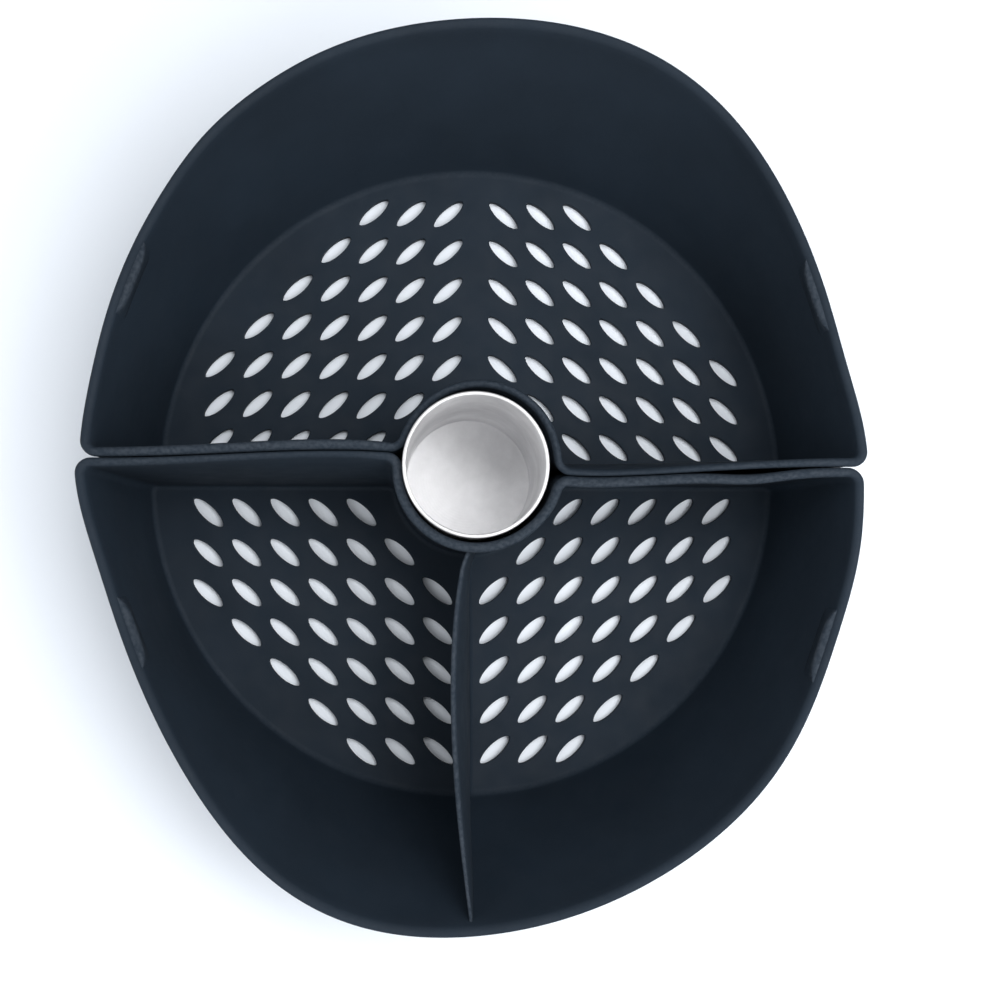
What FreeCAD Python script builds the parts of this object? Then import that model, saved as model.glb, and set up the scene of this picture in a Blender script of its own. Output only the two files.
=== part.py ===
"""Divided steaming insert: two soft perforated trays around a plain metal cup.

Frame: Z = 0 is the underside of the trays and of the cup, X runs along the line that
divides the two trays, and Y points to the rear tray.  The origin is on that line,
midway between the trays' corners.  Millimetres.
"""
import FreeCAD, Part
import math
import os

import Sketcher

SIZES = {
    # Trays, outside: a round floor whose soft wall flares out to an oval rim.
    "floor_radius": 83.5,
    "rim_half_width": 91.5,
    "rim_reach": 107.5,
    "tray_height": 48.0,
    "tray_gap": 0.5,
    "corner_radius": 4.5,
    # Trays, walls.
    "floor_thickness": 2.0,
    "wall": 2.2,
    # Half-round hub that wraps the cup.
    "hub_bore_radius": 18.0,
    "hub_blend_radius": 3.5,
    # Wall that splits the front tray in two.
    "divider_thickness": 1.8,
    "divider_drop": 2.0,
    # Half-moon finger grips just under the rim.
    "grip_length": 17.0,
    "grip_bulge": 2.4,
    "grip_depth": 6.0,
    "grip_drop": 1.0,
    "grip_angle": 27.0,
    # Drain holes, in a lattice mirrored about each tray's centre line.
    "hole_length": 10.2,
    "hole_width": 3.4,
    "column_pitch": 10.0,
    "row_pitch": 10.44,
    "first_column": 7.44,
    "first_row": 8.85,
    # Cup.
    "cup_radius": 17.0,
    "cup_height": 50.5,
    "cup_wall": 0.5,
    "cup_base": 0.8,
    "cup_corner_radius": 1.6,
    "cup_lip_radius": 0.45,
}

# For each row of holes, going away from the dividing wall: the first column with a
# hole, counted from the tray's centre line, and the number of holes on each side.
HOLE_ROWS = [(2, 5), (1, 6), (0, 7), (0, 6), (0, 5), (0, 4), (0, 3)]
HOLE_SLANT = -42.5

ORIGIN = (-1, 1)
START, END, CENTRE = 1, 2, 3

# Room allowed when edges are picked by where they are, in mm.
SEARCH_MARGIN = 1.0
# The least volume a cut has to take away, in mm3.
LEAST_CUT = 1.0
# Halvings used to close in on the start of a corner arc.
HALVINGS = 60

doc = FreeCAD.newDocument("SteamingInsert")


def make_sheet():
    """A spreadsheet of the driving dimensions, one alias each."""
    sheet = doc.addObject("Spreadsheet::Sheet", "Sizes")
    for row, (name, value) in enumerate(SIZES.items(), start=1):
        sheet.set(f"A{row}", name)
        sheet.set(f"B{row}", str(value))
        sheet.setAlias(f"B{row}", name)
    doc.recompute()
    return sheet


sizes = make_sheet()


# ---- Sketch helpers ----------------------------------------------------------------

def vector(x, y, z=0.0):
    """A point in a sketch or in the model."""
    return FreeCAD.Vector(x, y, z)


def value_of(formula):
    """The present value of a formula of the sheet's aliases."""
    return float(sizes.evalExpression(formula))


def add_sketch(body, name, role="XY_Plane", height=None):
    """A sketch on one of the body's own planes, raised by a formula of the sheet."""
    sketch = body.newObject("Sketcher::SketchObject", name)
    plane = next(item for item in body.Origin.OriginFeatures if item.Role == role)
    sketch.AttachmentSupport = [(plane, "")]
    sketch.MapMode = "FlatFace"
    if height:
        sketch.setExpression("AttachmentOffset.Base.z", formula_of(height))
    return sketch


def formula_of(text):
    """The same formula as written in other objects, with the sheet's name before each alias."""
    words = text.split()
    return " ".join(f"Sizes.{word}" if word in SIZES else word for word in words)


def fix(sketch, kind, *where):
    """Add a geometric constraint."""
    sketch.addConstraint(Sketcher.Constraint(kind, *where))


def bind(sketch, kind, *where, to):
    """Add a dimension and bind it to a formula of the sheet."""
    index = sketch.addConstraint(Sketcher.Constraint(kind, *where, value_of(to)))
    sketch.setExpression(f"Constraints[{index}]", formula_of(to))


def add_line(sketch, start, end):
    """A straight edge between two points."""
    return sketch.addGeometry(Part.LineSegment(start, end), False)


def add_polygon(sketch, points):
    """A closed chain of straight edges; returns their numbers."""
    edges = [add_line(sketch, a, b) for a, b in zip(points, points[1:] + points[:1])]
    for one, following in zip(edges, edges[1:] + edges[:1]):
        fix(sketch, "Coincident", one, END, following, START)
    return edges


def add_half_round(sketch, radius, chord):
    """The part of a circle about the origin that lies beyond a level chord."""
    lift = math.asin(value_of(chord) / value_of(radius))
    circle = Part.Circle(vector(0, 0), vector(0, 0, 1), value_of(radius))
    arc = sketch.addGeometry(Part.ArcOfCircle(circle, lift, math.pi - lift), False)
    line = add_line(sketch, sketch.getPoint(arc, END), sketch.getPoint(arc, START))
    fix(sketch, "Coincident", arc, END, line, START)
    fix(sketch, "Coincident", arc, START, line, END)
    fix(sketch, "Coincident", arc, CENTRE, *ORIGIN)
    fix(sketch, "Horizontal", line)
    bind(sketch, "DistanceY", *ORIGIN, line, START, to=chord)
    bind(sketch, "Radius", arc, to=radius)


def oval_point(half_width, reach, turn):
    """A point of an oval about the origin, and its inward normal; turn runs from +Y to +X."""
    point = vector(half_width * math.sin(turn), reach * math.cos(turn))
    inward = vector(-point.x / half_width ** 2, -point.y / reach ** 2).normalize()
    return point, inward


def corner_turn(half_width, reach, chord, radius):
    """Where an oval leaves off for a corner arc that also touches the level chord."""
    low, high = 0.0, math.pi / 2
    for _ in range(HALVINGS):
        turn = (low + high) / 2
        point, inward = oval_point(half_width, reach, turn)
        if point.y + radius * inward.y > chord + radius:
            low = turn
        else:
            high = turn
    return turn


def add_half_oval(sketch, half_width, reach, chord, corner):
    """Half an oval about the origin, closed by a chord with rounded corners."""
    wide, deep, level, radius = map(value_of, (half_width, reach, chord, corner))
    turn = corner_turn(wide, deep, level, radius)
    point, inward = oval_point(wide, deep, turn)
    centre = point + inward * radius
    lift = math.atan2(-inward.y, -inward.x)
    up = vector(0, 0, 1)
    round_arc = half_width == reach
    if round_arc:
        circle = Part.Circle(vector(0, 0), up, deep)
        curve = Part.ArcOfCircle(circle, math.pi / 2 - turn, math.pi / 2 + turn)
    else:
        oval = Part.Ellipse(vector(0, 0), deep, wide)
        oval.rotate(FreeCAD.Placement(vector(0, 0), FreeCAD.Rotation(up, 90)))
        curve = Part.ArcOfEllipse(oval, -turn, turn)
    arc = sketch.addGeometry(curve, False)
    right_circle = Part.Circle(centre, up, radius)
    right = sketch.addGeometry(Part.ArcOfCircle(right_circle, -math.pi / 2, lift), False)
    left_circle = Part.Circle(vector(-centre.x, centre.y), up, radius)
    left = sketch.addGeometry(Part.ArcOfCircle(left_circle, math.pi - lift, 1.5 * math.pi), False)
    line = add_line(sketch, sketch.getPoint(left, END), sketch.getPoint(right, START))
    fix(sketch, "Coincident", arc, CENTRE, *ORIGIN)
    fix(sketch, "Horizontal", line)
    fix(sketch, "Tangent", arc, START, right, END)
    fix(sketch, "Tangent", arc, END, left, START)
    fix(sketch, "Tangent", right, START, line, END)
    fix(sketch, "Tangent", left, END, line, START)
    bind(sketch, "DistanceY", *ORIGIN, line, START, to=chord)
    bind(sketch, "Radius", right, to=corner)
    bind(sketch, "Radius", left, to=corner)
    if round_arc:
        bind(sketch, "Radius", arc, to=reach)
        return
    sketch.exposeInternalGeometry(arc)
    long_axis, short_axis = line + 1, line + 2
    fix(sketch, "Vertical", long_axis)
    bind(sketch, "Distance", long_axis, to=f"2 * ( {reach} )")
    bind(sketch, "Distance", short_axis, to=f"2 * ( {half_width} )")


# ---- Feature helpers ---------------------------------------------------------------

def add_feature(body, kind, name, **settings):
    """A PartDesign feature with these properties, computed at once."""
    feature = body.newObject(f"PartDesign::{kind}", name)
    for key, value in settings.items():
        setattr(feature, key, value)
    doc.recompute()
    return feature


def add_pad(body, name, sketch, length, **settings):
    """A pad whose length is a formula of the sheet."""
    pad = add_feature(body, "Pad", name, Profile=sketch, **settings)
    pad.setExpression("Length", formula_of(length))
    doc.recompute()
    return pad


def edges_between(shape, low, high):
    """Names of the edges whose middle is in a box and that rise rather than lie level."""
    names = []
    for number, edge in enumerate(shape.Edges, start=1):
        ends = [vertex.Point for vertex in edge.Vertexes]
        middle = (ends[0] + ends[-1]) * 0.5
        rises = abs(ends[0].z - ends[-1].z) > SEARCH_MARGIN
        inside = all(low[i] <= middle[i] <= high[i] for i in range(3))
        if rises and inside:
            names.append(f"Edge{number}")
    return names


def add_fillet(body, name, base, edges, radius):
    """A fillet on named edges of a feature, its radius a formula of the sheet."""
    fillet = add_feature(body, "Fillet", name, Base=(base, edges), Radius=value_of(radius))
    fillet.setExpression("Radius", formula_of(radius))
    doc.recompute()
    return fillet


# ---- Tray --------------------------------------------------------------------------

def add_flare(body, kind, name, inset, low, high):
    """A loft from the round floor to the oval rim, pulled in from the tray's outside."""
    chord = f"tray_gap / 2 + {inset}"
    corner = f"corner_radius - {inset}"
    floor = f"floor_radius - {inset}"
    bottom = add_sketch(body, f"{name}Floor", height=low)
    add_half_oval(bottom, floor, floor, chord, corner)
    top = add_sketch(body, f"{name}Rim", height=high)
    add_half_oval(top, f"rim_half_width - {inset}", f"rim_reach - {inset}", chord, corner)
    doc.recompute()
    return add_feature(body, kind, name, Profile=bottom, Sections=[top], Ruled=True)


def add_basin(body):
    """The flared tray, hollow and open at the top, with a straight wall at the front."""
    form = add_flare(body, "AdditiveLoft", "Outside", "0", "0", "tray_height")
    full = form.Shape.Volume
    hollow = add_flare(body, "SubtractiveLoft", "Inside", "wall", "floor_thickness", "tray_height")
    check_cut(full, hollow)


def check_cut(volume_before, feature):
    """Stop if a cutting feature has removed nothing."""
    if feature.Shape.Volume > volume_before - LEAST_CUT:
        raise RuntimeError(f"{feature.Name} cuts nothing")


def add_hub(body):
    """The half-round wall that stands round the cup, and the opening for the cup."""
    ring = add_sketch(body, "HubOutline")
    add_half_round(ring, "hub_bore_radius + wall", "tray_gap / 2")
    hub = add_pad(body, "Hub", ring, "tray_height")
    bore_outline = add_sketch(body, "HubBoreOutline")
    add_half_round(bore_outline, "hub_bore_radius", "0")
    bore = add_feature(body, "Pocket", "HubBore", Profile=bore_outline, Type="ThroughAll",
                       Reversed=True)
    check_cut(hub.Shape.Volume, bore)
    width = value_of("hub_bore_radius + wall") + SEARCH_MARGIN
    depth = value_of("tray_gap / 2 + wall") + SEARCH_MARGIN
    edges = edges_between(bore.Shape, (-width, 0.0, SEARCH_MARGIN),
                          (width, depth, value_of("tray_height")))
    return add_fillet(body, "HubBlends", bore, edges, "hub_blend_radius")


def add_grips(body):
    """Two half-moon ledges on the inside of the wall, just under the rim."""
    low = "tray_height - grip_drop - grip_depth"
    sketch = add_sketch(body, "GripOutline", height=low)
    share = value_of(f"( {low} + grip_depth / 2 ) / tray_height")
    floor = value_of("floor_radius")
    wide = floor + share * (value_of("rim_half_width") - floor) - value_of("wall / 2")
    deep = floor + share * (value_of("rim_reach") - floor) - value_of("wall / 2")
    angle = math.radians(value_of("grip_angle"))
    half_length = value_of("grip_length / 2")
    bulge = value_of("grip_bulge + wall / 2")
    for side in (1, -1):
        middle = vector(side * wide * math.cos(angle), deep * math.sin(angle))
        along = vector(-side * wide * math.sin(angle), deep * math.cos(angle)).normalize()
        inward = vector(-side * along.y, side * along.x)
        ends = [middle - along * half_length, middle + along * half_length]
        bow = sketch.addGeometry(Part.Arc(ends[0], middle + inward * bulge, ends[1]), False)
        back = add_line(sketch, sketch.getPoint(bow, END), sketch.getPoint(bow, START))
        fix(sketch, "Coincident", bow, END, back, START)
        fix(sketch, "Coincident", bow, START, back, END)
        bind(sketch, "Distance", back, to="grip_length")
    return add_pad(body, "Grips", sketch, "grip_depth")


def add_divider(body):
    """The upright wall from the hub to the middle of the curved wall."""
    sketch = add_sketch(body, "DividerOutline", role="YZ_Plane")
    near = "hub_bore_radius + wall / 2"
    low = "floor_thickness / 2"
    top = "tray_height - divider_drop"
    far_low = "floor_radius - wall / 2"
    far_top = "rim_reach - wall / 2 - ( rim_reach - floor_radius ) * divider_drop / tray_height"
    corners = [(near, low), (far_low, low), (far_top, top), (near, top)]
    edges = add_polygon(sketch, [vector(value_of(y), value_of(z)) for y, z in corners])
    for edge, (y, z) in zip(edges, corners):
        bind(sketch, "DistanceX", *ORIGIN, edge, START, to=y)
        bind(sketch, "DistanceY", *ORIGIN, edge, START, to=z)
    doc.recompute()
    return add_pad(body, "Divider", sketch, "divider_thickness", Midplane=True)


def add_hole_outline(sketch, x, y):
    """A slanted oval with its centre bound to the lattice."""
    oval = Part.Ellipse(vector(0, 0), value_of("hole_length / 2"), value_of("hole_width / 2"))
    oval.rotate(FreeCAD.Placement(vector(0, 0), FreeCAD.Rotation(vector(0, 0, 1), HOLE_SLANT)))
    oval.Center = vector(value_of(x), value_of(y))
    outline = sketch.addGeometry(oval, False)
    bind(sketch, "DistanceX", *ORIGIN, outline, CENTRE, to=x)
    bind(sketch, "DistanceY", *ORIGIN, outline, CENTRE, to=y)
    return outline


def add_holes(body, base):
    """Drain holes through the floor: one side in rows, the other its mirror image."""
    sketch = add_sketch(body, "HoleOutlines")
    outlines = []
    for row, (first, count) in enumerate(HOLE_ROWS):
        for column in range(first, first + count):
            x = f"first_column + {column} * column_pitch"
            y = f"first_row + {row} * row_pitch"
            outlines.append(add_hole_outline(sketch, x, y))
    for outline in outlines[1:]:
        fix(sketch, "Equal", outlines[0], outline)
    sketch.exposeInternalGeometry(outlines[0])
    long_axis, short_axis = outlines[-1] + 1, outlines[-1] + 2
    bind(sketch, "Distance", long_axis, to="hole_length")
    bind(sketch, "Distance", short_axis, to="hole_width")
    holes = add_feature(body, "Pocket", "Holes", Profile=sketch, Type="ThroughAll",
                        Reversed=True)
    check_cut(base.Shape.Volume, holes)
    mirror_plane = next(item for item in body.Origin.OriginFeatures if item.Role == "YZ_Plane")
    mirrored = add_feature(body, "Mirrored", "HolesMirrored", Originals=[holes],
                           MirrorPlane=(mirror_plane, [""]))
    body.Tip = mirrored
    doc.recompute()
    check_cut(holes.Shape.Volume, mirrored)


def make_tray(label, turn, divided):
    """One tray, made towards +Y and then turned about the vertical axis."""
    body = doc.addObject("PartDesign::Body", label)
    body.Label = label
    add_basin(body)
    last = add_hub(body)
    last = add_grips(body)
    if divided:
        last = add_divider(body)
    add_holes(body, last)
    body.Placement = FreeCAD.Placement(vector(0, 0), FreeCAD.Rotation(vector(0, 0, 1), turn))
    return body


# ---- Cup ---------------------------------------------------------------------------

def revolve(body, name, sketch):
    """Turn a profile drawn on the XZ plane once round the vertical axis."""
    return add_feature(body, "Revolution", name, Profile=sketch, Angle=360.0,
                       ReferenceAxis=(sketch, ["V_Axis"]))


def add_cup_wall(body):
    """The thin drawn shell: flat base, rounded corner and straight upright wall."""
    sketch = add_sketch(body, "CupProfile", role="XZ_Plane")
    radius = value_of("cup_radius")
    inner = value_of("cup_radius - cup_wall")
    height = value_of("cup_height - cup_lip_radius")
    base = value_of("cup_base")
    bend = value_of("cup_corner_radius")
    inner_bend = value_of("cup_corner_radius - cup_wall")
    half = math.sqrt(0.5)
    outside_bend = Part.Arc(vector(radius - bend, 0),
                            vector(radius - bend + bend * half, bend - bend * half),
                            vector(radius, bend))
    inside_bend = Part.Arc(vector(inner, base + inner_bend),
                           vector(inner - inner_bend + inner_bend * half,
                                  base + inner_bend - inner_bend * half),
                           vector(inner - inner_bend, base))
    underside = add_line(sketch, vector(0, 0), vector(radius - bend, 0))
    outer_bend = sketch.addGeometry(outside_bend, False)
    outside = add_line(sketch, vector(radius, bend), vector(radius, height))
    crest = add_line(sketch, vector(radius, height), vector(inner, height))
    inside = add_line(sketch, vector(inner, height), vector(inner, base + inner_bend))
    inner_bend_arc = sketch.addGeometry(inside_bend, False)
    bottom = add_line(sketch, vector(inner - inner_bend, base), vector(0, base))
    centre = add_line(sketch, vector(0, base), vector(0, 0))
    fix(sketch, "Coincident", underside, START, *ORIGIN)
    fix(sketch, "Coincident", centre, END, underside, START)
    fix(sketch, "Coincident", bottom, END, centre, START)
    fix(sketch, "Coincident", outside, END, crest, START)
    fix(sketch, "Coincident", crest, END, inside, START)
    fix(sketch, "Tangent", underside, END, outer_bend, START)
    fix(sketch, "Tangent", outer_bend, END, outside, START)
    fix(sketch, "Tangent", inside, END, inner_bend_arc, END)
    fix(sketch, "Tangent", inner_bend_arc, START, bottom, START)
    for level in (underside, crest, bottom):
        fix(sketch, "Horizontal", level)
    for upright in (outside, inside, centre):
        fix(sketch, "Vertical", upright)
    bind(sketch, "DistanceX", *ORIGIN, outside, START, to="cup_radius")
    bind(sketch, "DistanceX", *ORIGIN, inside, START, to="cup_radius - cup_wall")
    bind(sketch, "DistanceY", *ORIGIN, crest, START, to="cup_height - cup_lip_radius")
    bind(sketch, "DistanceY", *ORIGIN, bottom, START, to="cup_base")
    bind(sketch, "Radius", outer_bend, to="cup_corner_radius")
    bind(sketch, "Radius", inner_bend_arc, to="cup_corner_radius - cup_wall")
    doc.recompute()
    return revolve(body, "CupShell", sketch)


def add_cup_lip(body):
    """The small round lip along the top of the cup."""
    sketch = add_sketch(body, "LipProfile", role="XZ_Plane")
    centre = vector(value_of("cup_radius - cup_lip_radius"), value_of("cup_height - cup_lip_radius"))
    lip = sketch.addGeometry(Part.Circle(centre, vector(0, 0, 1), value_of("cup_lip_radius")), False)
    bind(sketch, "Radius", lip, to="cup_lip_radius")
    bind(sketch, "DistanceX", *ORIGIN, lip, CENTRE, to="cup_radius - cup_lip_radius")
    bind(sketch, "DistanceY", *ORIGIN, lip, CENTRE, to="cup_height - cup_lip_radius")
    doc.recompute()
    return revolve(body, "CupLip", sketch)


def make_cup(label):
    """The loose cup that stands in the opening between the trays' hubs."""
    body = doc.addObject("PartDesign::Body", label)
    body.Label = label
    add_cup_wall(body)
    add_cup_lip(body)
    return body


# ---- The whole set -----------------------------------------------------------------

def check_document(parts):
    """Stop if any object failed to compute or any sub-part is not one valid solid."""
    for item in doc.Objects:
        if "Invalid" in item.State or "Error" in item.State:
            raise RuntimeError(f"{item.Name} is in state {item.State}")
    for part in parts:
        shape = part.Shape
        if shape.isNull() or not shape.isValid() or len(shape.Solids) != 1:
            raise RuntimeError(f"{part.Label} is not one valid solid")
        print(f"{part.Label}: {shape.Volume / 1000:.1f} cm3, {len(shape.Faces)} faces")


def export(parts):
    """One STEP file for each sub-part, named by its label."""
    os.makedirs("parts", exist_ok=True)
    for part in parts:
        part.Shape.exportStep(f"parts/{part.Label}.step")


PARTS = [
    make_tray("rear_tray", turn=0.0, divided=False),
    make_tray("front_tray", turn=180.0, divided=True),
    make_cup("centre_cup"),
]
doc.recompute()
check_document(PARTS)
export(PARTS)
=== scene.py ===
"""Looks of the divided steaming insert: two soft perforated trays around a metal cup.

Both trays are drawn towards +Y as they leave the mould, the front one is then turned
half round, and flexed() moves every point to where the relaxed silicone stands.
Lengths are in metres; MM turns a millimetre into them.
"""
import math

import bpy
import numpy as np
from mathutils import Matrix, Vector
from mathutils.geometry import delaunay_2d_cdt


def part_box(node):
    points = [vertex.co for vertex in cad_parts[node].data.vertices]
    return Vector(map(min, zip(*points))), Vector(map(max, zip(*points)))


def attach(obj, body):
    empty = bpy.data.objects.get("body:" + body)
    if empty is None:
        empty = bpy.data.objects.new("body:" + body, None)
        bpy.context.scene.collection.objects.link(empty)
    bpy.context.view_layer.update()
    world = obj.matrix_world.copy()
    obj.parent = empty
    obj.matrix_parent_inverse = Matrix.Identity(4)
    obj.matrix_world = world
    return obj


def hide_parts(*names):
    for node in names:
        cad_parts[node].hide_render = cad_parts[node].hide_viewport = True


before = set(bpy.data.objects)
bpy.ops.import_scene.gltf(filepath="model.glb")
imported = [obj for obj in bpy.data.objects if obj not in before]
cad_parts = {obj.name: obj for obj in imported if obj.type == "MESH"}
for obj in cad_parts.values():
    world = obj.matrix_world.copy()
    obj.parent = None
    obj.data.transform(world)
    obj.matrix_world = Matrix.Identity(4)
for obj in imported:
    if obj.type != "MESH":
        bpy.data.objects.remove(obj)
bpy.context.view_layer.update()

MM = 0.001

# ---- Sizes from the frame ----------------------------------------------------------

_, REAR_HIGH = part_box("rear_tray")
CUP_LOW, CUP_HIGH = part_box("centre_cup")
RIM_HALF_WIDTH, RIM_REACH, HEIGHT = REAR_HIGH
CUP_RADIUS = (CUP_HIGH[0] - CUP_LOW[0]) / 2
CUP_HEIGHT = CUP_HIGH[2]
# The cup stands a little off centre in its well.
CUP_SHIFT_X, CUP_SHIFT_Y = -0.45 * MM, -0.8 * MM
CUP_CENTRE = (
    (CUP_HIGH[0] + CUP_LOW[0]) / 2 + CUP_SHIFT_X,
    (CUP_HIGH[1] + CUP_LOW[1]) / 2 + CUP_SHIFT_Y,
    0.0,
)

# ---- Tray sizes --------------------------------------------------------------------

FLOOR_RADIUS = 83.6 * MM
FLOOR_TOP = 2.0 * MM
WALL = 1.8 * MM
# From the dividing line to the straight wall of each tray.
HALF_GAP = 0.25 * MM
CORNER_RADIUS = 3.6 * MM
HUB_RADIUS = 18.0 * MM
HUB_BLEND = 4.0 * MM
FLOOR_FILLET = 1.3 * MM
FOOT_ROUNDING = 0.8 * MM
# A flat strip between each rounding and the rest of the floor, so that it shades flat.
FLAT_BORDER = 0.2 * MM

# The bead along the top of the walls: its rise, how far down the inside of the wall it
# tapers away, how far it rolls over past level, how far below that the plain outside
# starts, and how proud of the outside it stands.
BEAD_RISE = 1.15 * MM
BEAD_TAPER = 4.0 * MM
BEAD_ROLL = math.radians(40)
BEAD_NECK = 0.4 * MM
ROUND_PROUD = 0.25 * MM
STRAIGHT_PROUD = 0.1 * MM
# Its half widths.  A straight wall has one by the hub and one by the corner: where the
# trays lean on each other, each one's right half is pinched thin and its left half is
# spread wide.
RIM_BEAD = 1.15 * MM
RIGHT_BEAD = (0.75 * MM, 1.0 * MM)
LEFT_BEAD = (1.3 * MM, 1.1 * MM)
REAR_HUB_BEAD, FRONT_HUB_BEAD = 0.95 * MM, 1.2 * MM

# The drain holes, in even columns and rows; FIRST_COLUMN and FIRST_ROW are how far the
# nearest ones are from the middle lines.
HOLE_HALF_LENGTH = 5.12 * MM
HOLE_HALF_WIDTH = 1.66 * MM
# How much narrower than an oval a hole is towards its ends, as a share.
HOLE_POINTING = 0.2
HOLE_EDGE = 0.2 * MM
HOLE_SLANT = math.radians(-42.5)
COLUMN_PITCH = 10.0 * MM
ROW_PITCH = 10.44 * MM
FIRST_COLUMN = 7.44 * MM
FIRST_ROW = 8.85 * MM
# For each row going away from the dividing wall: first column with a hole, and how many.
HOLE_ROWS = [(2, 5), (1, 6), (0, 7), (0, 6), (0, 5), (0, 4), (0, 3)]

# The grips: the angle from the dividing line to their middles, their length, how far
# they stand out of the wall, how square their ends are, their top and their depth.
GRIP_ANGLE = math.radians(27)
GRIP_HALF_LENGTH = 9.6 * MM
GRIP_BULGE = 1.6 * MM
GRIP_SQUARENESS = 4
GRIP_TOP = HEIGHT - 0.6 * MM
GRIP_DEPTH = 6.5 * MM
# The rounding of their upper edge: its most, its share of a smaller bulge, its least
# where the bulge runs out, and the angle at which it meets the underside, in radians.
GRIP_EDGE = 0.9 * MM
GRIP_EDGE_SHARE = 0.55
GRIP_EDGE_LEAST = 0.02 * MM
GRIP_EDGE_END = -0.2
# The flat of their top reaches this share of the bulge.  Their underside curves back by
# a power, drawn at these shares of its depth, until it is buried this deep in the wall.
# The ledge is closed at this distance from the wall's outer face.
GRIP_FLAT_SHARE = 0.3
GRIP_UNDER_POWER = 1.3
GRIP_UNDER_SHARES = (0.35, 0.7, 1.0)
GRIP_BURIED = 0.1 * MM
GRIP_ROOT = 0.5 * WALL

# The divider's half thickness at its foot and its top, and the height above the floor
# at which its plain faces start.
DIVIDER_TOP = HEIGHT - 2.2 * MM
DIVIDER_FOOT_HALF, DIVIDER_TOP_HALF = 0.9 * MM, 0.65 * MM
DIVIDER_FOOT_HEIGHT = 2.0 * MM
# The share of its thickness that is left at the hub and at the far end, and the shares
# of its length at which it is full.
DIVIDER_NEAR_SHARE, DIVIDER_FAR_SHARE = 0.7, 0.6
DIVIDER_FULL_FROM, DIVIDER_FULL_TO = 0.3, 0.6
# The flare of its foot: how far out, at what height above the floor.
DIVIDER_FLARE = [
    (1.4 * MM, -0.4 * MM),
    (0.9 * MM, 0.05 * MM),
    (0.35 * MM, 0.4 * MM),
    (0.08 * MM, 1.0 * MM),
]
# How far inside the outer faces of the hub and the curved wall its ends are.
DIVIDER_HUB_ROOT, DIVIDER_WALL_ROOT = 0.3 * WALL, 0.5 * WALL

# How strong the painted highlight is on the top of the bead along each stretch, the share
# of that at its sides, and how strong it is on the small edges.  The divider has it only
# near its top.  It paints paler light where light catches the beads, the floor's fillet,
# the hole edges, the grips and the divider's crest.  Along the straight walls it is painted
# stronger or weaker by stretch, as light or shade falls there.
RIM_HIGHLIGHT = 0.12
RIGHT_HIGHLIGHT = (0.0, 0.9)
LEFT_HIGHLIGHT = (1.0, 1.0)
REAR_HUB_HIGHLIGHT, FRONT_HUB_HIGHLIGHT = 0.7, 1.0
SIDE_HIGHLIGHT = 0.5
FILLET_HIGHLIGHT = 0.3
FOOT_HIGHLIGHT = 1.0
HOLE_HIGHLIGHT = 0.2
GRIP_HIGHLIGHT = 0.9
DIVIDER_HIGHLIGHT = 0.95
DIVIDER_HIGHLIGHT_DEPTH = 1.0 * MM

# ---- Cup sizes ---------------------------------------------------------------------

CUP_WALL = 0.4 * MM
CUP_BASE = 0.8 * MM
CUP_DISH = 0.4 * MM
CUP_BEND = 0.45 * MM
# The outside of its wall is a little inside the frame's, and its round lip a little out.
CUP_WALL_INSET = 0.05 * MM
LIP_RADIUS = 0.46 * MM
LIP_PROUD = 0.12 * MM
# How far below the top the straight wall starts, and how far past half round the lip
# curls on each side.
LIP_NECK = 2.2 * LIP_RADIUS
LIP_CURL = 0.12 * math.pi

# ---- How the soft trays have relaxed -----------------------------------------------

# How the lean of a wall grows with its height: more slowly at the foot than above.
LEAN_POWER = 1.25
# The tops of the walls are twisted clockwise about the cup, most at TWIST_RADIUS.  Over
# TWIST_FADE beyond it the twist fades to TWIST_REMAINS of that.
TWIST = 2.85 * MM
TWIST_POWER = 4.5
TWIST_RADIUS = 31.0 * MM
TWIST_FADE = 56.0 * MM
TWIST_REMAINS = 0.25
# The floors have slid along the dividing line, and their rims have half followed.
SLIP = 1.2 * MM
SLIP_START = 20.0 * MM
SLIP_FULL = 24.0 * MM
SLIP_LOST_AT_RIM = 0.5
# The floors have also turned a little, in radians, less so where the trays meet.
REAR_TURN, FRONT_TURN = -0.0075, 0.0085
TURN_START, TURN_FULL = 3.0 * MM, 14.0 * MM
TURN_AT_WALL = 0.35
# The straight walls lean to the front here: millimetres along them, half width, lean.
# Only the front one has sagged near its right end, where a gap opens.
SHARED_LEANS = [(20, 16, 0.8 * MM)]
FRONT_SAGS = [(65, 6.5, 1.1 * MM)]
# The rim has spread, and stands out from an even oval or in: angle in degrees from +X
# towards +Y, half width, push.
RIM_SPREAD = 0.6 * MM
RIM_BULGES = [
    (5, 7, 1.9 * MM),
    (5, 26, -2.7 * MM),
    (61, 14, 3.0 * MM),
    (95, 12, -1.4 * MM),
    (130, 6, 0.6 * MM),
    (182, 8, 2.2 * MM),
    (-151, 22, -4.1 * MM),
    (-109, 13, 3.5 * MM),
    (-44, 14, 2.6 * MM),
    (-10, 10, 3.2 * MM),
]
# The push starts at the first of these distances from the middle, full at the second.
RIM_ZONE = (0.55 * RIM_HALF_WIDTH, 0.9 * RIM_HALF_WIDTH)
# Below the rim the wall hangs back inward here, so that its top curls out.
RIM_CURLS = [(-153, 20, -1.8 * MM)]
CURL_POWER = 8
# The same push for the well round the cup, full at the first distance and none at the
# second.
HUB_BULGES = [
    (160, 40, -1.0 * MM),
    (-90, 60, 1.0 * MM),
]
HUB_ZONE = (24.0 * MM, 36.0 * MM)
# The divider bows sideways by this much at mid length, growing with height.
DIVIDER_BOW = 3.7 * MM
DIVIDER_BOW_POWER = 1.4
# Keeps a distance from the middle from being zero.
NEAR_NOTHING = 1e-9


def smooth_step(value, low, high):
    """0 below low, 1 above high, and a smooth rise between."""
    share = np.clip((value - low) / (high - low), 0.0, 1.0)
    return share * share * (3.0 - 2.0 * share)


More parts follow.
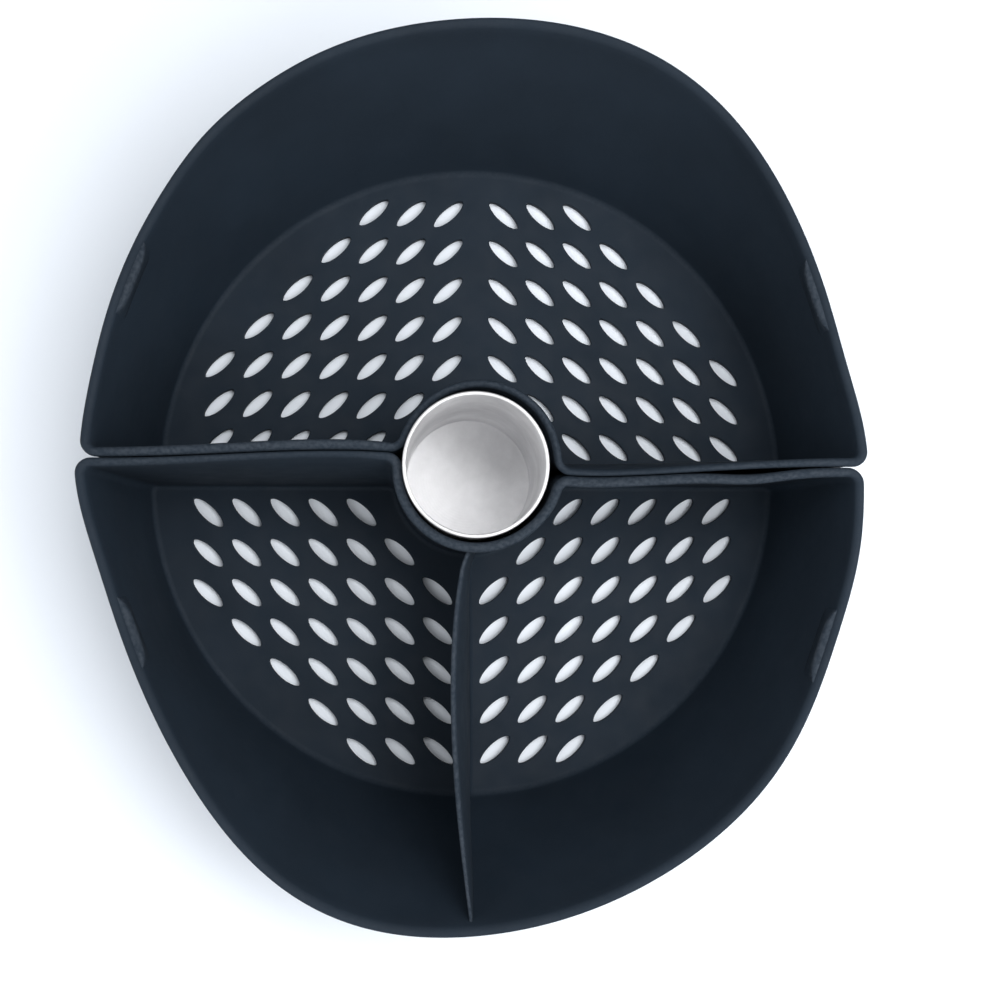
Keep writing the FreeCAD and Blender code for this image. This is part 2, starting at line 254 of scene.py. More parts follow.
def humps(place, table, around=math.inf):
    """The sum of a table of humps at these places, which may run around a circle."""
    total = np.zeros_like(place)
    for centre, half_width, amount in table:
        away = np.abs(place - centre)
        away = np.minimum(away, around - away)
        total += amount * np.exp(-0.5 * (away / half_width) ** 2)
    return total


def bulging(angle, table):
    """How far a table of bulges pushes outward at these angles, in degrees."""
    return humps(angle, table, around=360.0)


def twisted(radius, share):
    """How far points are carried clockwise, at a radius and a share of the height."""
    rising = np.sin(0.5 * math.pi * np.clip(radius / TWIST_RADIUS, 0.0, 1.0))
    falling = np.cos(0.5 * math.pi * np.clip((radius - TWIST_RADIUS) / TWIST_FADE, 0.0, 1.0)) ** 2
    return TWIST * share ** TWIST_POWER * rising * (TWIST_REMAINS + (1.0 - TWIST_REMAINS) * falling)


def pushed(x, y, radius, share):
    """How far points are pushed outward, at the rim and at the well round the cup."""
    lean = share ** LEAN_POWER
    angle = np.degrees(np.arctan2(y, x))
    outer = smooth_step(radius, *RIM_ZONE)
    push = (RIM_SPREAD + bulging(angle, RIM_BULGES)) * outer
    push += bulging(angle, HUB_BULGES) * (1.0 - smooth_step(radius, *HUB_ZONE))
    push *= lean
    return push + bulging(angle, RIM_CURLS) * outer * (lean - share ** CURL_POWER)


def flexed(points, slip, turn):
    """Where points of the moulded shape stand once the silicone has relaxed."""
    x, y, z = points[:, 0], points[:, 1], points[:, 2]
    radius = np.maximum(np.hypot(x, y), NEAR_NOTHING)
    share = np.clip(z / HEIGHT, 0.0, 1.0)
    twist = twisted(radius, share)
    push = pushed(x, y, radius, share)
    slide = slip * smooth_step(radius, SLIP_START, SLIP_FULL) * (1.0 - SLIP_LOST_AT_RIM * share)
    clear_of_wall = smooth_step(np.abs(y), TURN_START, TURN_FULL)
    turned = turn * (1.0 - share)
    turned_away = turned * (TURN_AT_WALL + (1.0 - TURN_AT_WALL) * clear_of_wall)
    forward = humps(x / MM, SHARED_LEANS) + humps(x / MM, FRONT_SAGS) * (y < 0)
    sag = forward * share ** LEAN_POWER * (1.0 - clear_of_wall)
    moved = points.copy()
    moved[:, 0] += (twist * y + push * x) / radius + slide - turned * y
    moved[:, 1] += (push * y - twist * x) / radius + turned_away * x - sag
    return moved


# ---- The tray's outline at one height ----------------------------------------------

# How many points each stretch has.
STRAIGHT_STEPS, CORNER_STEPS, CURVE_STEPS, BLEND_STEPS, HUB_STEPS = 36, 10, 200, 9, 64
BLENDING_PASSES = 40
BISECTIONS = 50


def half_axes(z):
    """Half width and reach of the tray's outside at a height."""
    share = z / HEIGHT
    wide = FLOOR_RADIUS + (RIM_HALF_WIDTH - ROUND_PROUD - FLOOR_RADIUS) * share
    deep = FLOOR_RADIUS + (RIM_REACH - ROUND_PROUD - FLOOR_RADIUS) * share
    return wide, deep


def oval(wide, deep, turn):
    """Points of an oval and their inward normals; turn runs from +Y to +X."""
    points = np.stack([wide * np.sin(turn), deep * np.cos(turn)], axis=-1)
    inward = np.stack([-np.sin(turn) / wide, -np.cos(turn) / deep], axis=-1)
    return points, inward / np.linalg.norm(inward, axis=-1, keepdims=True)


def corner_turn(wide, deep):
    """Where the oval leaves off for the corner arc that also meets the straight wall."""
    low, high = 0.0, math.pi / 2
    for _ in range(BISECTIONS):
        turn = (low + high) / 2
        point, inward = oval(wide, deep, np.array(turn))
        if point[1] + CORNER_RADIUS * inward[1] > HALF_GAP + CORNER_RADIUS:
            low = turn
        else:
            high = turn
    return turn


def arc(centre, radius, start, end, steps, hollow=False):
    """Points of an arc and the normals that lead into the tray."""
    angle = np.linspace(start, end, steps, endpoint=False)
    outward = np.stack([np.cos(angle), np.sin(angle)], axis=-1)
    return centre + radius * outward, outward if hollow else -outward


def outline(z):
    """The outside of the tray at a height, anticlockwise, with normals into the tray."""
    wide, deep = half_axes(z)
    turn = corner_turn(wide, deep)
    point, inward = oval(wide, deep, np.array(turn))
    corner = point + CORNER_RADIUS * inward
    lift = math.atan2(-inward[1], -inward[0])
    blend_y = HALF_GAP + HUB_BLEND
    blend_x = math.sqrt((HUB_RADIUS + HUB_BLEND) ** 2 - blend_y ** 2)
    blend = np.array([blend_x, blend_y])
    hub_lift = math.atan2(blend_y, blend_x)
    near, far = np.array([blend_x, HALF_GAP]), np.array([corner[0], HALF_GAP])
    run = np.linspace(0.0, 1.0, STRAIGHT_STEPS, endpoint=False)[:, None]
    into = np.tile([0.0, 1.0], (STRAIGHT_STEPS, 1))
    mirror = np.array([-1.0, 1.0])
    pieces = [
        (near + (far - near) * run, into),
        arc(corner, CORNER_RADIUS, -math.pi / 2, lift, CORNER_STEPS),
        oval(wide, deep, np.linspace(turn, -turn, CURVE_STEPS, endpoint=False)),
        arc(corner * mirror, CORNER_RADIUS, math.pi - lift, 1.5 * math.pi, CORNER_STEPS),
        ((far + (near - far) * run) * mirror, into),
        arc(blend * mirror, HUB_BLEND, -math.pi / 2, -hub_lift, BLEND_STEPS),
        arc(np.zeros(2), HUB_RADIUS, math.pi - hub_lift, hub_lift, HUB_STEPS, hollow=True),
        arc(blend, HUB_BLEND, math.pi + hub_lift, 1.5 * math.pi, BLEND_STEPS),
    ]
    return np.concatenate([p for p, _ in pieces]), np.concatenate([n for _, n in pieces])


def along_outline(right, rim, left, hub):
    """A value for each point of the outline, blended where one stretch meets the next.

    The right and left halves of the straight wall each have two, by the hub and by the
    corner.
    """
    values = np.concatenate([
        np.linspace(right[0], right[1], STRAIGHT_STEPS),
        np.full(CORNER_STEPS + CURVE_STEPS + CORNER_STEPS, rim),
        np.linspace(left[1], left[0], STRAIGHT_STEPS),
        np.full(BLEND_STEPS + HUB_STEPS + BLEND_STEPS, hub),
    ])
    for _ in range(BLENDING_PASSES):
        values = (np.roll(values, 1) + 2 * values + np.roll(values, -1)) / 4
    return values


# ---- Mesh building -----------------------------------------------------------------

# How the flat faces are divided: only inside their loops, which join this closely.
CDT_INSIDE = 1
CDT_TOLERANCE = 1e-6


class Shell:
    """Points and faces gathered ring by ring, with how much painted highlight each point has."""

    def __init__(self):
        self.points = []
        self.wear = []
        self.faces = []

    def add_ring(self, ring, wear=0.0):
        """Add a ring of points; returns their numbers."""
        start = len(self.points)
        self.points.extend(map(tuple, ring))
        self.wear.extend(np.broadcast_to(wear, len(ring)))
        return list(range(start, start + len(ring)))

    def bridge(self, one, other):
        """Quads between two closed rings of the same length."""
        count = len(one)
        for i in range(count):
            j = (i + 1) % count
            self.faces.append((one[j], one[i], other[i], other[j]))

    def skin(self, rings):
        """Quads between each ring and the next."""
        for one, other in zip(rings, rings[1:]):
            self.bridge(one, other)

    def cap(self, rings):
        """One face over the first ring and one over the last."""
        self.faces.append(tuple(rings[0]))
        self.faces.append(tuple(rings[-1][::-1]))

    def plate(self, border, holes, up):
        """A flat face inside the border and outside every hole."""
        loops = [border] + holes
        flat = [Vector(self.points[i][:2]) for loop in loops for i in loop]
        names = [i for loop in loops for i in loop]
        faces, start = [], 0
        for loop in loops:
            faces.append(list(range(start, start + len(loop))))
            start += len(loop)
        faces[1:] = [face[::-1] for face in faces[1:]]
        scaled = [p / MM for p in flat]
        result = delaunay_2d_cdt(scaled, [], faces, CDT_INSIDE, CDT_TOLERANCE)
        _, _, triangles, origins, _, owners = result
        for triangle, owner in zip(triangles, owners):
            if owner == [0]:
                corners = [names[origins[i][0]] for i in triangle]
                self.faces.append(tuple(corners if up else reversed(corners)))


def rounded(across, height, radius, start, end, steps):
    """Points round an arc of a profile, from one angle to another."""
    return [(across + radius * math.cos(angle), height + radius * math.sin(angle))
            for angle in np.linspace(start, end, steps)]


# ---- Walls -------------------------------------------------------------------------

FILLET_RINGS, WALL_RINGS, BEAD_RINGS, OUTSIDE_RINGS, FOOT_RINGS = 7, 26, 15, 14, 5
BEAD_CENTRE = HEIGHT - BEAD_RISE


def ring_at(z, inset):
    """A ring of the tray at a height, this far in from its outside."""
    points, normals = outline(z)
    flat = points + normals * np.reshape(inset, (-1, 1))
    return np.column_stack([flat, np.full(len(flat), z)])


def fillet_levels():
    """Height, inset and painted highlight of each ring up the fillet round the floor, which paints a
    thin line of light along it.
    """
    for angle in np.linspace(0.0, math.pi / 2, FILLET_RINGS):
        inset = WALL + FLOOR_FILLET * (1.0 - math.sin(angle))
        z = FLOOR_TOP + FLOOR_FILLET * (1.0 - math.cos(angle))
        yield z, inset, FILLET_HIGHLIGHT * math.sin(2.0 * angle)


def inside_levels(half_width, proud, painted_highlight):
    """The same up the inside of the wall, which swells into the bead."""
    for z in np.linspace(FLOOR_TOP + FLOOR_FILLET, BEAD_CENTRE, WALL_RINGS)[1:-1]:
        swell = smooth_step(z, BEAD_CENTRE - BEAD_TAPER, BEAD_CENTRE)
        inset = WALL + (2.0 * half_width - proud - WALL) * swell
        # The painted highlight grows as the wall swells into the bead.
        yield z, inset, SIDE_HIGHLIGHT * painted_highlight * swell


def bead_levels(half_width, proud, painted_highlight):
    """The same over the bead and a little way under its outer side."""
    for angle in np.linspace(0.0, math.pi + BEAD_ROLL, BEAD_RINGS):
        inset = half_width * (1.0 + math.cos(angle)) - proud
        if angle > math.pi:
            inset = np.minimum(inset, 0.0)
        z = BEAD_CENTRE + BEAD_RISE * math.sin(angle)
        # The painted highlight is strongest on the crest of the bead.
        yield z, inset, painted_highlight * (SIDE_HIGHLIGHT + (1.0 - SIDE_HIGHLIGHT) * math.sin(angle))


def outside_levels():
    """The same down the outside and round the foot."""
    neck = BEAD_CENTRE - BEAD_RISE * math.sin(BEAD_ROLL) - BEAD_NECK
    for z in np.linspace(neck, FOOT_ROUNDING, OUTSIDE_RINGS)[:-1]:
        yield z, 0.0, 0.0
    for angle in np.linspace(0.0, math.pi / 2, FOOT_RINGS):
        inset = FOOT_ROUNDING * (1.0 - math.cos(angle))
        z = FOOT_ROUNDING * (1.0 - math.sin(angle))
        # A painted highlight along the rounding of the foot.
        yield z, inset, FOOT_HIGHLIGHT * math.sin(2.0 * angle)


def add_walls(shell, hub_bead, hub_highlight):
    """The skin from the floor's edge over the walls to the foot; returns both its ends."""
    half_width = along_outline(RIGHT_BEAD, RIM_BEAD, LEFT_BEAD, hub_bead)
    # How strong the painted highlight is at each point of the outline.
    painted_highlight = along_outline(RIGHT_HIGHLIGHT, RIM_HIGHLIGHT, LEFT_HIGHLIGHT, hub_highlight)
    straight_proud = (STRAIGHT_PROUD, STRAIGHT_PROUD)
    proud = along_outline(straight_proud, ROUND_PROUD, straight_proud, ROUND_PROUD)
    levels = [(FLOOR_TOP, WALL + FLOOR_FILLET + FLAT_BORDER, 0.0)]
    levels += fillet_levels()
    levels += inside_levels(half_width, proud, painted_highlight)
    levels += bead_levels(half_width, proud, painted_highlight)
    levels += outside_levels()
    levels += [(0.0, FOOT_ROUNDING + FLAT_BORDER, 0.0)]
    rings = [shell.add_ring(ring_at(z, inset), wear) for z, inset, wear in levels]
    shell.skin(rings)
    return rings[0], rings[-1]


# ---- Drain holes -------------------------------------------------------------------

HOLE_STEPS, HOLE_EDGE_STEPS = 36, 4


def hole_centres():
    """Centres and slants of the drain holes, right half and mirrored left half."""
    for row, (first, count) in enumerate(HOLE_ROWS):
        for column in range(first, first + count):
            x = FIRST_COLUMN + column * COLUMN_PITCH
            y = FIRST_ROW + row * ROW_PITCH
            yield x, y, HOLE_SLANT
            yield -x, y, -HOLE_SLANT


def hole_ring(x, y, slant, grow, z):
    """A leaf-shaped ring: an oval whose ends are a little pointed."""
    angle = np.linspace(0.0, -2.0 * math.pi, HOLE_STEPS, endpoint=False)
    fullness = 1.0 - HOLE_POINTING + HOLE_POINTING * np.abs(np.sin(angle))
    along = (HOLE_HALF_LENGTH + grow) * np.cos(angle)
    across = (HOLE_HALF_WIDTH + grow) * np.sin(angle) * fullness
    ring_x = x + along * math.cos(slant) - across * math.sin(slant)
    ring_y = y + along * math.sin(slant) + across * math.cos(slant)
    return np.column_stack([ring_x, ring_y, np.full(HOLE_STEPS, z)])


def add_holes(shell):
    """The walls of every hole; returns their loops in the floor's top and underside."""
    # Each rounded edge of a hole carries a painted highlight.
    edge = [(HOLE_EDGE * (1 - math.sin(a)), HOLE_EDGE * (1 - math.cos(a)), HOLE_HIGHLIGHT * math.sin(2 * a))
            for a in np.linspace(0.0, math.pi / 2, HOLE_EDGE_STEPS)]
    border = HOLE_EDGE + FLAT_BORDER
    levels = [(border, FLOOR_TOP, 0.0)]
    levels += [(grow, FLOOR_TOP - depth, wear) for grow, depth, wear in edge]
    levels += [(grow, depth, wear) for grow, depth, wear in reversed(edge)]
    levels += [(border, 0.0, 0.0)]
    tops, bottoms = [], []
    for x, y, slant in hole_centres():
        rings = [shell.add_ring(hole_ring(x, y, slant, grow, z), wear) for grow, z, wear in levels]
        shell.skin(rings)
        tops.append(rings[0])
        bottoms.append(rings[-1])
    return tops, bottoms


# ---- Grips and divider -------------------------------------------------------------

GRIP_STEPS, GRIP_EDGE_STEPS = 25, 6
DIVIDER_STEPS, DIVIDER_FACE_STEPS, DIVIDER_TOP_STEPS = 49, 14, 6


def grip_profile(bulge):
    """The ledge's top and rounded edge, then its underside, as insets and heights."""
    edge = min(GRIP_EDGE, GRIP_EDGE_SHARE * bulge + GRIP_EDGE_LEAST)
    top = [(GRIP_ROOT, GRIP_TOP), (WALL + GRIP_FLAT_SHARE * bulge, GRIP_TOP)]
    top += rounded(WALL + bulge - edge, GRIP_TOP - edge, edge,
                   math.pi / 2, GRIP_EDGE_END, GRIP_EDGE_STEPS)
    under = []
    for share in GRIP_UNDER_SHARES:
        inset = WALL + bulge * (1.0 - share) ** GRIP_UNDER_POWER - GRIP_BURIED * share
        under.append((inset, GRIP_TOP - edge - (GRIP_DEPTH - edge) * share))
    under.append((GRIP_ROOT, GRIP_TOP - GRIP_DEPTH))
    return top, under


def add_grip(shell, side):
    """A long ledge with rounded ends on the inside of the wall, just under the bead."""
    wide, deep = half_axes(GRIP_TOP)
    middle_turn = math.pi / 2 - math.atan2(math.tan(GRIP_ANGLE) / deep, 1 / wide)
    half_turn = GRIP_HALF_LENGTH / deep
    columns = []
    for along in np.linspace(-1.0, 1.0, GRIP_STEPS):
        turn = side * (middle_turn + along * half_turn)
        top, under = grip_profile(GRIP_BULGE * (1.0 - abs(along) ** GRIP_SQUARENESS))
        column = []
        for inset, z in top + under:
            point, inward = oval(*half_axes(z), np.array(turn))
            column.append((*(point + inward * inset), z))
        # The grip's top and rounded edge carry a painted highlight; its underside has none.
        columns.append(shell.add_ring(column, [GRIP_HIGHLIGHT] * len(top) + [0.0] * len(under)))
    columns = columns[::-side]
    shell.skin(columns)
    shell.cap(columns)


def divider_section(thinning):
    """Across and height of each point round the divider, which is this much thinned."""
    foot, top = DIVIDER_FOOT_HALF * thinning, DIVIDER_TOP_HALF * thinning
    face_start = FLOOR_TOP + DIVIDER_FOOT_HEIGHT
    right = [(foot + out, FLOOR_TOP + up) for out, up in DIVIDER_FLARE]
    for rise in np.linspace(0.0, 1.0, DIVIDER_FACE_STEPS):
        right.append((foot + (top - foot) * rise, face_start + (DIVIDER_TOP - top - face_start) * rise))
    right += rounded(0.0, DIVIDER_TOP - top, top, 0.0, math.pi / 2, DIVIDER_TOP_STEPS)[1:]
    left = [(-x, z) for x, z in reversed(right[:-1])]
    return right + left


def add_divider(shell):
    """The upright wall from the hub to the curved wall, bowed and thinner at its ends."""
    near = HUB_RADIUS + DIVIDER_HUB_ROOT
    rings = []
    for share in np.linspace(0.0, 1.0, DIVIDER_STEPS):
        growing = smooth_step(share, 0.0, DIVIDER_FULL_FROM)
        shrinking = smooth_step(share, DIVIDER_FULL_TO, 1.0)
        thinning = DIVIDER_NEAR_SHARE + (1.0 - DIVIDER_NEAR_SHARE) * growing
        thinning -= (1.0 - DIVIDER_FAR_SHARE) * shrinking
        ring = []
        for x, z in divider_section(thinning):
            _, deep = half_axes(z)
            y = near + (deep - DIVIDER_WALL_ROOT - near) * share
            bow = DIVIDER_BOW * math.sin(math.pi * share) * (z / HEIGHT) ** DIVIDER_BOW_POWER
            ring.append((x + bow, y, z))
        # The divider's crest carries a painted highlight that fades away below its top.
        below_top = [(DIVIDER_TOP - z) / DIVIDER_HIGHLIGHT_DEPTH for _, _, z in ring]
        rings.append(shell.add_ring(ring, [DIVIDER_HIGHLIGHT * max(0.0, 1.0 - d) for d in below_top]))
    shell.skin(rings)
    shell.cap(rings)


# ---- The three pieces --------------------------------------------------------------

CUP_STEPS, CUP_BEND_STEPS, CUP_RUN_STEPS, LIP_STEPS = 160, 9, 12, 15


def make_mesh(name, shell, points):
    """A smooth-shaded object from gathered points and faces."""
    mesh = bpy.data.meshes.new(name)
    mesh.from_pydata([tuple(p) for p in points], [], shell.faces)
    # The painted highlight of each point, which the silicone mixes in as a paler colour.
    painted_highlight = mesh.attributes.new("painted_highlight", "FLOAT", "POINT")
    painted_highlight.data.foreach_set("value", shell.wear)
    mesh.polygons.foreach_set("use_smooth", [True] * len(mesh.polygons))
    mesh.update()
    piece = bpy.data.objects.new(name, mesh)
    bpy.context.scene.collection.objects.link(piece)
    return piece


def make_tray(name, slip, turn, hub_bead, hub_highlight, divided):
    """One tray; the divided one is the front one, which is turned half round."""
    shell = Shell()
    floor_edge, foot_edge = add_walls(shell, hub_bead, hub_highlight)
    tops, bottoms = add_holes(shell)
    shell.plate(floor_edge, tops, up=True)
    shell.plate(foot_edge, bottoms, up=False)
    for side in (1, -1):
        add_grip(shell, side)
    if divided:
        add_divider(shell)
    points = np.array(shell.points)
    if divided:
        points[:, :2] *= -1.0
    return make_mesh(name, shell, flexed(points, slip, turn))


def cup_profile():
    """Radius and height from the middle of the dished bottom over the lip to the underside."""
    outer = CUP_RADIUS - CUP_WALL_INSET
    inner = outer - CUP_WALL
    flat = inner - CUP_BEND
    neck = CUP_HEIGHT - LIP_NECK
    lip_middle = CUP_RADIUS + LIP_PROUD - LIP_RADIUS
    quarter = math.pi / 2
    profile = [(flat * share, CUP_BASE - CUP_DISH * (1.0 - share ** 2))
               for share in np.linspace(0.0, 1.0, CUP_RUN_STEPS)]
    profile += rounded(flat, CUP_BASE + CUP_BEND, CUP_BEND, -quarter, 0.0, CUP_BEND_STEPS)[1:]
    profile += [(inner, z) for z in np.linspace(CUP_BASE + CUP_BEND, neck, CUP_RUN_STEPS)[1:]]
    profile += rounded(lip_middle, CUP_HEIGHT - LIP_RADIUS, LIP_RADIUS,
                       math.pi + LIP_CURL, -LIP_CURL, LIP_STEPS)
    profile += [(outer, z) for z in np.linspace(neck, CUP_BEND, CUP_RUN_STEPS)]
    profile += rounded(outer - CUP_BEND, CUP_BEND, CUP_BEND, 0.0, -quarter, CUP_BEND_STEPS)[1:]
    profile += [(outer * share, 0.0) for share in (0.5, 0.0)]
    return profile


def make_cup():
    """The drawn cup: a thin shell turned about its axis, with a small round lip."""
    shell = Shell()
    profile = cup_profile()
    turn = np.linspace(0.0, 2.0 * math.pi, CUP_STEPS, endpoint=False)
    rings = []
    for radius, z in profile[1:-1]:
        ring = np.column_stack([radius * np.cos(turn), radius * np.sin(turn), np.full(CUP_STEPS, z)])
        rings.append(shell.add_ring(ring))
    shell.skin(rings)
    middles = [(0.0, 0.0, z) for _, z in (profile[0], profile[-1])]
    top_middle, bottom_middle = shell.add_ring(middles)
    for i in range(CUP_STEPS):
        j = (i + 1) % CUP_STEPS
        shell.faces.append((top_middle, rings[0][i], rings[0][j]))
        shell.faces.append((bottom_middle, rings[-1][j], rings[-1][i]))
    return make_mesh("cup_shell", shell, np.array(shell.points) + CUP_CENTRE)


# ---- Materials ---------------------------------------------------------------------

class Nodes:
    """Short calls for building a material's node tree."""

    def __init__(self, name):
        self.material = bpy.data.materials.new(name)
        self.material.use_nodes = True
        self.tree = self.material.node_tree
        self.shader = self.tree.nodes["Principled BSDF"]

    def add(self, kind, **settings):
        """A node with these properties."""
        node = self.tree.nodes.new(kind)
        for key, value in settings.items():
            setattr(node, key, value)
        return node

    def link(self, source, target):
        """Join an output socket to an input socket."""
        self.tree.links.new(source, target)

    def place(self):
        """The point's place on its object."""
        return self.add("ShaderNodeTexCoord").outputs["Object"]

    def noise(self, per_metre, detail=3.0, roughness=0.5):
        """Noise over the object, with this many features per metre."""
        node = self.add("ShaderNodeTexNoise")
        self.link(self.place(), node.inputs["Vector"])
        node.inputs["Scale"].default_value = per_metre
        node.inputs["Detail"].default_value = detail
        node.inputs["Roughness"].default_value = roughness
        return node.outputs["Fac"]

    def rings(self, scale, distortion):
        """Fine rings about the Z axis."""
        node = self.add("ShaderNodeTexWave", wave_type="RINGS", rings_direction="Z")
        self.link(self.place(), node.inputs["Vector"])
        node.inputs["Scale"].default_value = scale
        node.inputs["Distortion"].default_value = distortion
        return node.outputs["Fac"]

    def ramp(self, value, stops):
        """A colour ramp of two (position, colour) stops."""
        node = self.add("ShaderNodeValToRGB")
        for element, (position, colour) in zip(node.color_ramp.elements, stops):
            element.position = position
            element.color = (*colour, 1.0)
        self.link(value, node.inputs["Fac"])
        return node.outputs["Color"]

    def spread(self, value, source, target):
        """A value moved from one (low, high) range to another."""
        node = self.add("ShaderNodeMapRange")
        ends = ("From Min", "From Max", "To Min", "To Max")
        for key, number in zip(ends, (*source, *target)):
            node.inputs[key].default_value = number
        self.link(value, node.inputs["Value"])
        return node.outputs["Result"]

    def mix(self, factor, colour, other):
        """A colour turned by a factor into another, which is plain."""
        node = self.add("ShaderNodeMix", data_type="RGBA")
        sockets = {socket.name: socket for socket in node.inputs if socket.enabled}
        self.link(factor, sockets["Factor"])
        self.link(colour, sockets["A"])
        sockets["B"].default_value = (*other, 1.0)
        return next(socket for socket in node.outputs if socket.enabled)

    def times(self, one, other):
        """The product of two values."""
        node = self.add("ShaderNodeMath", operation="MULTIPLY")
        self.link(one, node.inputs[0])
        self.link(other, node.inputs[1])
        return node.outputs["Value"]

    def bump(self, height, distance, under=None):
        """A bump of this height in metres, on top of another bump."""
        node = self.add("ShaderNodeBump")
        node.inputs["Distance"].default_value = distance
        node.inputs["Strength"].default_value = 1.0
        self.link(height, node.inputs["Height"])
        if under:
            self.link(under, node.inputs["Normal"])
        return node.outputs["Normal"]


# The middle range of a noise, where most of its values fall.
NOISE_RANGE = (0.3, 0.7)

SILICONE_DARK = (0.0070, 0.0133, 0.0220)
SILICONE_LIGHT = (0.0097, 0.0177, 0.0287)
# The paler colour of the painted highlight on beads and edges.
SILICONE_PAINTED_HIGHLIGHT = (0.0260, 0.0350, 0.0475)
SILICONE_ROUGHNESS = (0.68, 0.80)
SILICONE_SPECULAR = 0.22
# How unevenly the painted highlight lies on the edges, from its weakest spots to its strongest.
PATCHINESS = (0.1, 1.15)
SWELL_HEIGHT, GRAIN_HEIGHT = 0.25 * MM, 0.02 * MM

ALUMINIUM_STAINED = (0.66, 0.66, 0.67)
ALUMINIUM_CLEAN = (0.89, 0.89, 0.90)
ALUMINIUM_ROUGHNESS = (0.56, 0.70)
RING_HEIGHT, DENT_HEIGHT = 0.006 * MM, 0.12 * MM

SURFACE_DARK = (0.79, 0.84, 0.905)
SURFACE_LIGHT = (0.81, 0.86, 0.925)
SURFACE_ROUGHNESS = 0.8


def silicone():
    """Matte dark blue-grey silicone: cloudy tone, fine grain, and a painted highlight that makes the
    beads and edges paler.
    """
    nodes = Nodes("silicone_skin")
    shader = nodes.shader
    cloud = nodes.noise(per_metre=38.0, detail=4.0)
    tone = nodes.ramp(cloud, [(0.3, SILICONE_DARK), (0.72, SILICONE_LIGHT)])
    # The painted highlight is mixed in as a paler colour, patchy along the edges.
    painted_highlight = nodes.add("ShaderNodeAttribute", attribute_name="painted_highlight").outputs["Fac"]
    patchy = nodes.spread(nodes.noise(per_metre=1300.0), (0.35, 0.65), PATCHINESS)
    highlighted_tone = nodes.mix(nodes.times(painted_highlight, patchy), tone, SILICONE_PAINTED_HIGHLIGHT)
    nodes.link(highlighted_tone, shader.inputs["Base Color"])
    film = nodes.noise(per_metre=160.0)
    nodes.link(nodes.spread(film, NOISE_RANGE, SILICONE_ROUGHNESS), shader.inputs["Roughness"])
    swell = nodes.bump(nodes.noise(per_metre=55.0, detail=1.0), SWELL_HEIGHT)
    grain = nodes.bump(nodes.noise(per_metre=2600.0, detail=2.0), GRAIN_HEIGHT, under=swell)
    nodes.link(grain, shader.inputs["Normal"])
    shader.inputs["Specular IOR Level"].default_value = SILICONE_SPECULAR
    return nodes.material


def aluminium():
    """Drawn aluminium: fine turned rings, soft stains and dents, and a satin polish."""
    nodes = Nodes("cup_aluminium")
    shader = nodes.shader
    stain = nodes.noise(per_metre=55.0, detail=5.0, roughness=0.6)
    tone = nodes.ramp(stain, [(0.32, ALUMINIUM_STAINED), (0.66, ALUMINIUM_CLEAN)])
    nodes.link(tone, shader.inputs["Base Color"])
    shader.inputs["Metallic"].default_value = 1.0
    nodes.link(nodes.spread(stain, NOISE_RANGE, ALUMINIUM_ROUGHNESS), shader.inputs["Roughness"])
    turned = nodes.bump(nodes.rings(scale=420.0, distortion=2.0), RING_HEIGHT)
    dents = nodes.bump(nodes.noise(per_metre=90.0, detail=2.0), DENT_HEIGHT, under=turned)
    nodes.link(dents, shader.inputs["Normal"])
    return nodes.material


def pale_surface():
    """A plain white surface with the faintest unevenness."""
    nodes = Nodes("pale_surface")
    cloud = nodes.noise(per_metre=6.0)
    tone = nodes.ramp(cloud, [(0.3, SURFACE_DARK), (0.7, SURFACE_LIGHT)])
    nodes.link(tone, nodes.shader.inputs["Base Color"])
    nodes.shader.inputs["Roughness"].default_value = SURFACE_ROUGHNESS
    return nodes.material


# ---- Stage -------------------------------------------------------------------------

# Soft square lights: name, azimuth (0 the front, 90 the right), elevation, distance and
# width in metres, and power in watts.
LIGHTS = [
    ("high_right", 90, 70, 1.2, 0.5, 2.8),
    ("high_rear_right", 135, 70, 1.2, 0.5, 2.5),
    ("high_rear", 180, 70, 1.2, 0.5, 2.0),
    ("near_right", 90, 50, 0.5, 0.4, 1.1),
    ("near_front_right", 45, 50, 0.5, 0.4, 1.0),
    ("left", 270, 50, 1.2, 1.1, 2.4),
    ("low_left", 270, 25, 1.2, 1.1, 6.0),
    ("low_front", 0, 25, 1.2, 1.1, 5.7),
]
SURROUND_COLOUR = (0.95, 0.97, 1.0, 1.0)
SURROUND_STRENGTH = 0.25

FLOOR_HALF_WIDTH = 3.0
FLOOR_BELOW = 0.05 * MM

# The camera looks almost straight down from above and a little in front.  LENS is its
# focal length in millimetres.
CAMERA_PLACE = (-15.6 * MM, -32.3 * MM, 372.7 * MM)
CAMERA_TILT = (math.radians(4.11), math.radians(-3.67), 0.0)
LENS = 50.4
NEAREST_SEEN = 0.01


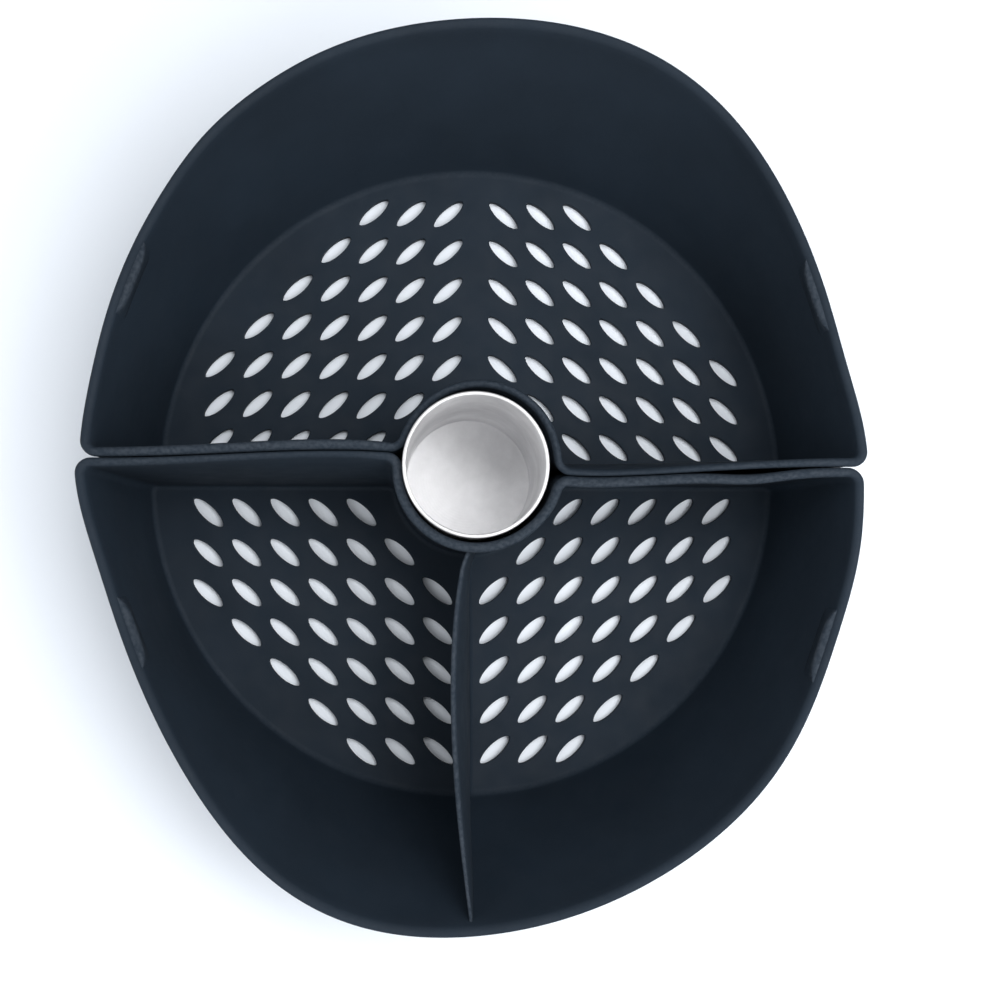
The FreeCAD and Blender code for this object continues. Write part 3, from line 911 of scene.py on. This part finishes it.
def make_floor():
    """A wide floor just under the object."""
    mesh = bpy.data.meshes.new("studio_floor")
    signs = [(-1, -1), (1, -1), (1, 1), (-1, 1)]
    corners = [(sx * FLOOR_HALF_WIDTH, sy * FLOOR_HALF_WIDTH, -FLOOR_BELOW) for sx, sy in signs]
    mesh.from_pydata(corners, [], [(0, 1, 2, 3)])
    mesh.materials.append(pale_surface())
    floor = bpy.data.objects.new("studio_floor", mesh)
    bpy.context.scene.collection.objects.link(floor)


def make_light(name, azimuth, elevation, distance, width, power):
    """A square soft light that faces the middle of the object."""
    data = bpy.data.lights.new(name, "AREA")
    data.size = width
    data.energy = power
    light = bpy.data.objects.new(name, data)
    around, up = math.radians(azimuth), math.radians(elevation)
    direction = Vector((math.cos(up) * math.sin(around), -math.cos(up) * math.cos(around), math.sin(up)))
    light.location = distance * direction
    light.rotation_euler = direction.to_track_quat("Z", "Y").to_euler()
    bpy.context.scene.collection.objects.link(light)


def make_surround():
    """An even pale light from all round."""
    world = bpy.data.worlds.new("studio_surround")
    world.use_nodes = True
    background = world.node_tree.nodes["Background"]
    background.inputs["Color"].default_value = SURROUND_COLOUR
    background.inputs["Strength"].default_value = SURROUND_STRENGTH
    bpy.context.scene.world = world


def make_camera():
    """The camera, which the scene looks through."""
    data = bpy.data.cameras.new("camera")
    data.lens = LENS
    data.clip_start = NEAREST_SEEN
    camera = bpy.data.objects.new("camera", data)
    camera.location = CAMERA_PLACE
    camera.rotation_euler = CAMERA_TILT
    bpy.context.scene.collection.objects.link(camera)
    bpy.context.scene.camera = camera


# ---- Assembly ----------------------------------------------------------------------

def dress(piece, body, node, material):
    """Put a piece on its body, in place of a CAD node, with its finish."""
    piece.data.materials.append(material)
    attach(piece, body)
    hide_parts(node)


rubber = silicone()
rear_tray = make_tray("rear_tray_moulding", SLIP, REAR_TURN,
                      REAR_HUB_BEAD, REAR_HUB_HIGHLIGHT, divided=False)
front_tray = make_tray("front_tray_moulding", -SLIP, FRONT_TURN,
                       FRONT_HUB_BEAD, FRONT_HUB_HIGHLIGHT, divided=True)
dress(rear_tray, "rear_half", "rear_tray", rubber)
dress(front_tray, "front_half", "front_tray", rubber)
dress(make_cup(), "cup", "centre_cup", aluminium())

make_floor()
for row in LIGHTS:
    make_light(*row)
make_surround()
make_camera()
bpy.context.scene.view_settings.view_transform = "Standard"
